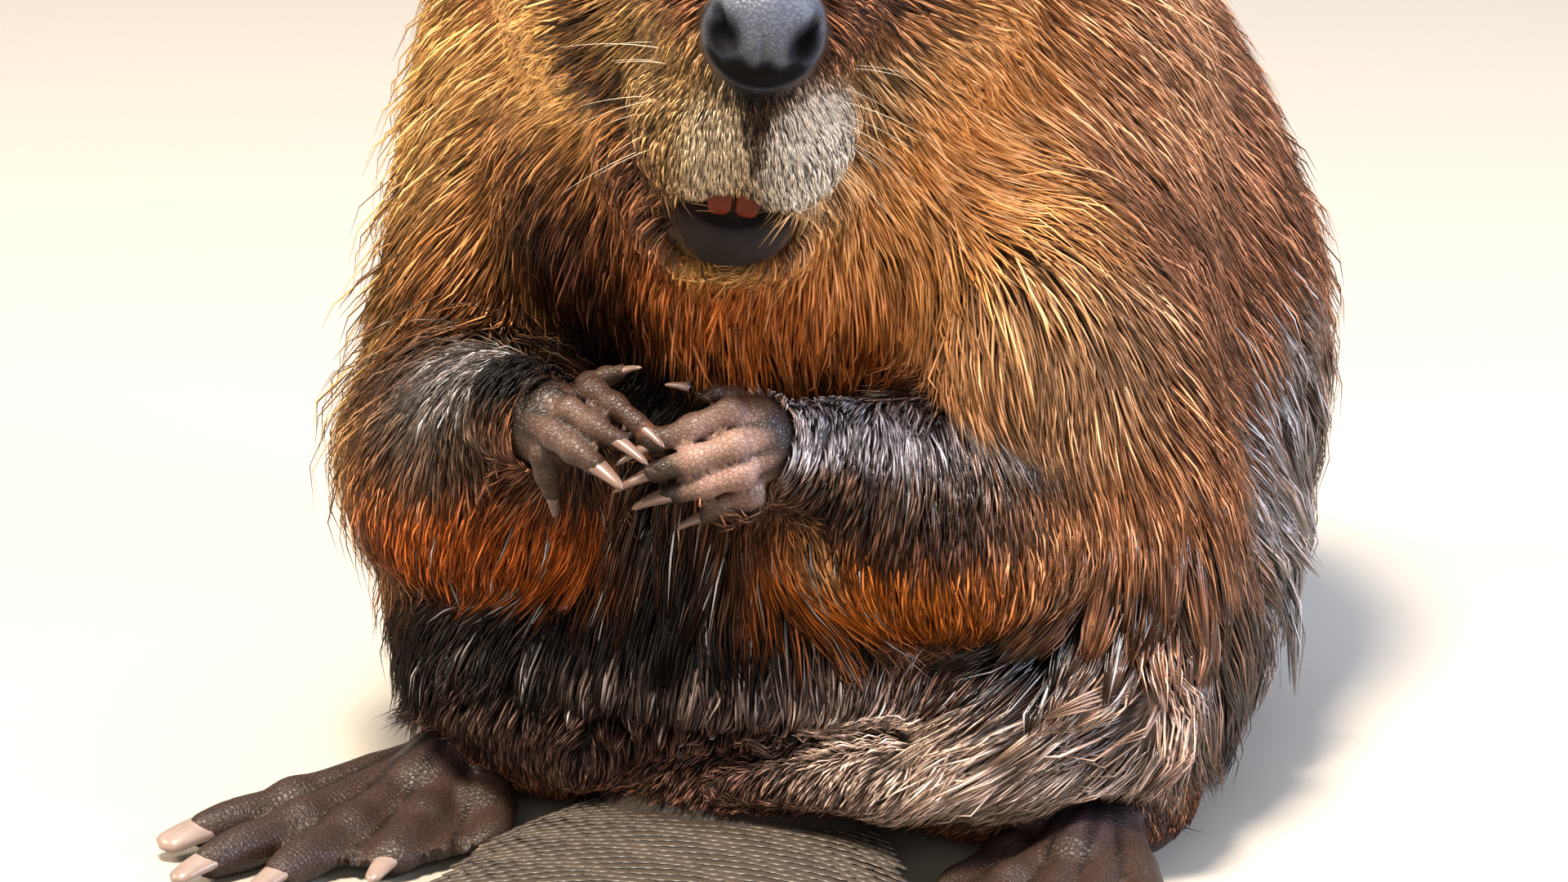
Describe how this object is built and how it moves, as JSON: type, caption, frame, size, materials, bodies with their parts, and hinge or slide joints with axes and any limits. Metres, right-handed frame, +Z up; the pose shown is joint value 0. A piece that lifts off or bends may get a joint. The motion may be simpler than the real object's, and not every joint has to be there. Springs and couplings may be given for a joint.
{
  "type": "beaver model",
  "caption": "Still life-size North American beaver sitting upright, forepaws together before its chest, flat scaly tail pushed forward between its hind feet.",
  "frame": {"origin": "on the floor, under the middle of the trunk's resting flat, between the hips", "axes": "+Z up; the beaver faces -Y, with its tail laid forward under it; its left side is +X"},
  "size_m": [0.3257, 0.5516, 0.3696],
  "materials": {
    "fur": "dense brown guard hair with a golden to rust tinge, damp in places",
    "foot_skin": "wrinkled dark skin with fine short hair",
    "tail_skin": "grey-brown hide in flat horny scales",
    "nose_leather": "moist black pebbled skin",
    "claw": "smooth pinkish horn, darker at the root",
    "eye": "dark brown, wet and glossy",
    "enamel": "orange-brown tooth enamel, glossy"
  },
  "bodies": {
    "root": {"tail": "tail_skin", "tail_root": "fur", "hind_claw_left_1": "claw", "hind_claw_left_2": "claw", "hind_claw_left_3": "claw", "hind_claw_left_4": "claw", "hind_claw_left_5": "claw", "hind_foot_left": "foot_skin", "hind_claw_right_1": "claw", "hind_claw_right_2": "claw", "hind_claw_right_3": "claw", "hind_claw_right_4": "claw", "hind_claw_right_5": "claw", "hind_foot_right": "foot_skin", "fore_claw_left_1": "claw", "fore_claw_left_2": "claw", "fore_claw_left_3": "claw", "fore_claw_left_4": "claw", "fore_claw_left_5": "claw", "forepaw_left": "foot_skin", "forearm_left": "fur", "upper_arm_left": "fur", "thigh_left": "fur", "fore_claw_right_1": "claw", "fore_claw_right_2": "claw", "fore_claw_right_3": "claw", "fore_claw_right_4": "claw", "fore_claw_right_5": "claw", "forepaw_right": "foot_skin", "forearm_right": "fur", "upper_arm_right": "fur", "thigh_right": "fur", "trunk": "fur", "neck": "fur", "head": "fur", "jaw": "fur", "nose": "nose_leather", "eye_left": "eye", "ear_left": "fur", "eye_right": "eye", "ear_right": "fur", "incisors": "enamel"}
  },
  "joints": []
}
